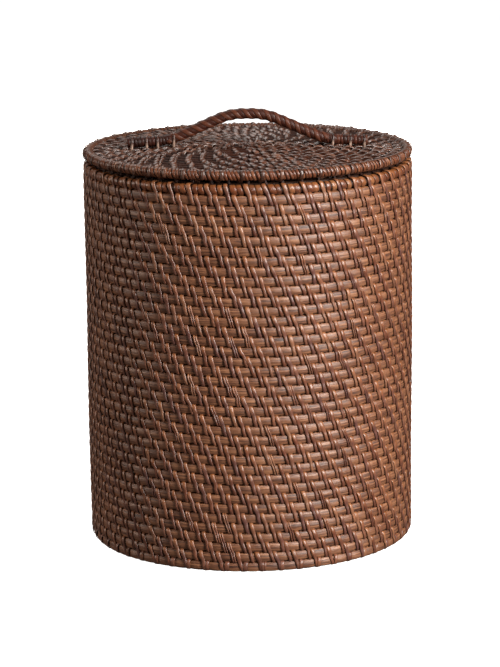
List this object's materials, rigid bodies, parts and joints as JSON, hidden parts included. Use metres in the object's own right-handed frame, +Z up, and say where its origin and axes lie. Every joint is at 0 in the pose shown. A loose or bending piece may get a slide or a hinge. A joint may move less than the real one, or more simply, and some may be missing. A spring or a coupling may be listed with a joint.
{
  "type": "wastebasket",
  "caption": "Round coiled rattan wastebasket with straight sides, wrapped rims and a lift-off coiled lid with a bowed wrapped handle.",
  "frame": {"origin": "on the floor, under the middle of the base", "axes": "+Z up along the basket's axis; the lid's handle runs along X; the side seen from the front faces -Y"},
  "size_m": [0.266, 0.266, 0.3495],
  "materials": {
    "rattan_rod": "satin",
    "lashing_strip": "glossy",
    "rim_strip": "glossy",
    "handle_strip": "glossy"
  },
  "bodies": {
    "basket": {"wall_course_01": "rattan_rod", "wall_course_02": "rattan_rod", "wall_course_03": "rattan_rod", "wall_course_04": "rattan_rod", "wall_course_05": "rattan_rod", "wall_course_06": "rattan_rod", "wall_course_07": "rattan_rod", "wall_course_08": "rattan_rod", "wall_course_09": "rattan_rod", "wall_course_10": "rattan_rod", "wall_course_11": "rattan_rod", "wall_course_12": "rattan_rod", "wall_course_13": "rattan_rod", "wall_course_14": "rattan_rod", "wall_course_15": "rattan_rod", "wall_course_16": "rattan_rod", "wall_course_17": "rattan_rod", "wall_course_18": "rattan_rod", "wall_course_19": "rattan_rod", "wall_course_20": "rattan_rod", "wall_course_21": "rattan_rod", "wall_course_22": "rattan_rod", "wall_course_23": "rattan_rod", "wall_course_24": "rattan_rod", "wall_course_25": "rattan_rod", "wall_course_26": "rattan_rod", "wall_course_27": "rattan_rod", "wall_course_28": "rattan_rod", "wall_course_29": "rattan_rod", "wall_course_30": "rattan_rod", "wall_course_31": "rattan_rod", "wall_course_32": "rattan_rod", "wall_course_33": "rattan_rod", "wall_course_34": "rattan_rod", "wall_course_35": "rattan_rod", "wall_course_36": "rattan_rod", "wall_course_37": "rattan_rod", "wall_course_38": "rattan_rod", "wall_lashing": "lashing_strip", "rim_rod": "rattan_rod", "rim_wrap": "rim_strip", "base_courses": "rattan_rod", "base_lashing": "lashing_strip", "base_start_knot": "lashing_strip"},
    "lid": {"lid_courses": "rattan_rod", "lid_lashing": "lashing_strip", "lid_start_knot": "lashing_strip", "lid_rim_rod": "rattan_rod", "lid_rim_wrap": "rim_strip", "lid_seat_rod": "rattan_rod", "lid_seat_lashing": "lashing_strip", "handle_core": "rattan_rod", "handle_wrap": "handle_strip", "handle_ties_left": "handle_strip", "handle_ties_right": "handle_strip"}
  },
  "joints": [
    {"name": "lid_lift", "type": "slide", "parent": "basket", "child": "lid", "axis": [0, 0, 1], "range_m": [0, 0.15]}
  ]
}
